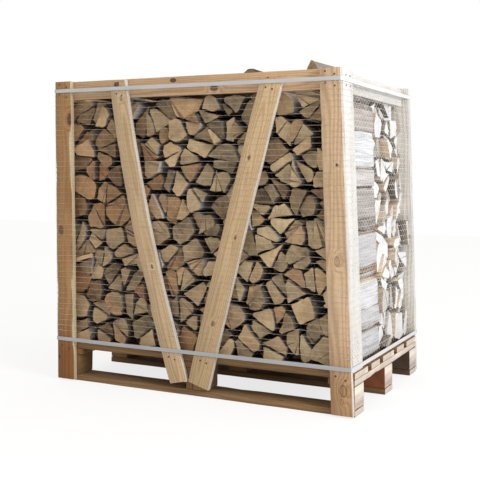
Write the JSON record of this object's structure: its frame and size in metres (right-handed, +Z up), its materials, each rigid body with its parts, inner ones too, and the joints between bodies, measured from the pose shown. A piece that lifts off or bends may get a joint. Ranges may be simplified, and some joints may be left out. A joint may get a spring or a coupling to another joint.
{
  "type": "pallet of firewood",
  "caption": "Split firewood logs stacked in two rows on a wooden pallet, held by a nailed board crate, a knitted net and flat straps.",
  "frame": {"origin": "on the ground under the middle of the pallet: the centre of the middle bottom board's underside", "axes": "+Z up, -Y towards the front with the V of braces, +X along the pallet's length to the right seen from the front"},
  "size_m": [1.2413, 0.8494, 1.2083],
  "materials": {
    "pallet_wood": "rough sawn, weathered brown",
    "post_wood_dark": "rough sawn, orange brown",
    "frame_wood": "rough sawn, pale tan",
    "firewood": "split and sawn, dry, with grey bark",
    "net_yarn": "knitted flat yarn",
    "strap_plastic": "embossed strap"
  },
  "bodies": {
    "root": {"bottom_board_front": "pallet_wood", "block_front_left": "pallet_wood", "block_front_centre": "pallet_wood", "block_front_right": "pallet_wood", "bottom_board_middle": "pallet_wood", "block_middle_left": "pallet_wood", "block_middle_centre": "pallet_wood", "block_middle_right": "pallet_wood", "bottom_board_back": "pallet_wood", "block_back_left": "pallet_wood", "block_back_centre": "pallet_wood", "block_back_right": "pallet_wood", "stringer_left": "pallet_wood", "stringer_centre": "pallet_wood", "stringer_right": "pallet_wood", "deck_board_1": "pallet_wood", "deck_board_2": "pallet_wood", "deck_board_3": "pallet_wood", "deck_board_4": "pallet_wood", "deck_board_5": "pallet_wood", "post_front_left": "post_wood_dark", "brace_front_left": "frame_wood", "post_front_right": "frame_wood", "brace_front_right": "frame_wood", "post_back_left": "frame_wood", "brace_back_left": "frame_wood", "post_back_right": "frame_wood", "brace_back_right": "frame_wood", "side_board_left": "frame_wood", "side_board_right": "frame_wood", "rail_front": "frame_wood", "rail_back": "frame_wood", "rail_left": "frame_wood", "rail_right": "frame_wood", "strap_lower": "strap_plastic", "strap_upper": "strap_plastic", "net": "net_yarn", "firewood_front_row": "firewood", "firewood_back_row": "firewood", "top_log_01": "firewood", "top_log_02": "firewood", "top_log_03": "firewood", "top_log_04": "firewood", "top_log_05": "firewood", "top_log_06": "firewood", "top_log_07": "firewood", "top_log_08": "firewood", "top_log_09": "firewood", "top_log_10": "firewood"}
  },
  "joints": []
}
